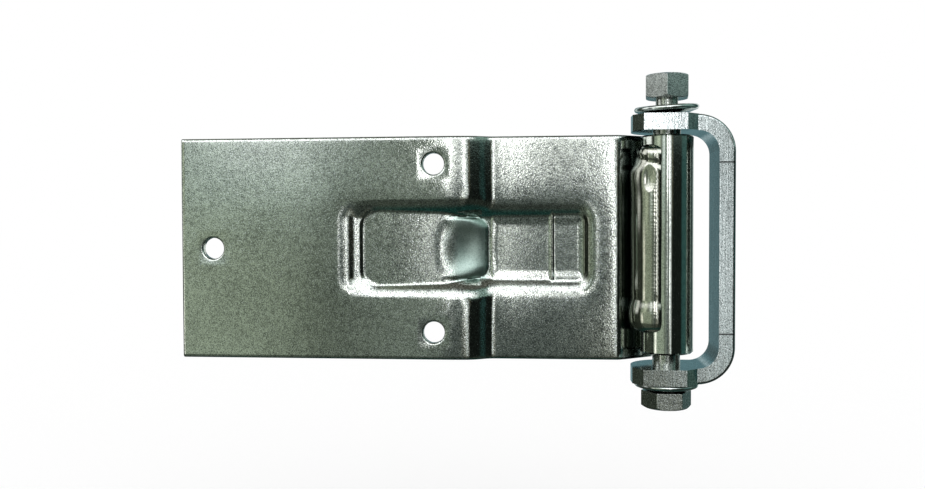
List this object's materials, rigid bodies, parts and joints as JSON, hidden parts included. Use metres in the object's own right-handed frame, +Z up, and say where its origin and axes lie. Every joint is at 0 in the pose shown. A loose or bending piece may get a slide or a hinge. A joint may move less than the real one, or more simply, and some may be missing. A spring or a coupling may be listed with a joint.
{
  "type": "offset hinge",
  "caption": "Zinc-plated offset strap hinge: joggled pressed strap with welded barrel turning on a hex bolt in a C-shaped weld-on pivot bracket.",
  "frame": {"origin": "middle of the pivot bracket's flat outer face, the face that is welded to the door post", "axes": "+X out of the weld face, away from the hinge; strap runs along -X at rest; -Y is the screw face side; +Z up along the pivot axis"},
  "size_m": [0.2465, 0.03, 0.1458],
  "materials": {
    "bracket_zinc": "zinc-plated hot-worked bar",
    "strap_zinc": "zinc-plated pressed sheet, fine orange peel",
    "barrel_zinc": "zinc-plated drawn tube, bright",
    "weld_zinc": "zinc-plated weld bead, glossy ripples",
    "fastener_zinc": "zinc-plated, dull",
    "washer_zinc": "zinc-plated, semi-bright"
  },
  "bodies": {
    "bracket": {"pivot_bracket": "bracket_zinc", "upper_washer": "washer_zinc", "lower_washer": "washer_zinc"},
    "strap": {"strap_plate": "strap_zinc", "barrel_tube": "barrel_zinc", "barrel_weld": "weld_zinc"},
    "bolt": {"hinge_bolt": "fastener_zinc", "hinge_nut": "fastener_zinc"}
  },
  "joints": [
    {"name": "strap_swing", "type": "hinge", "parent": "bracket", "child": "strap", "pos_m": [-0.028, -0.003, 0], "axis": [0, 0, 1], "range_deg": [-122, 150]},
    {"name": "bolt_spin", "type": "hinge", "parent": "bracket", "child": "bolt", "pos_m": [-0.028, -0.003, 0], "axis": [0, 0, 1], "continuous": true}
  ]
}
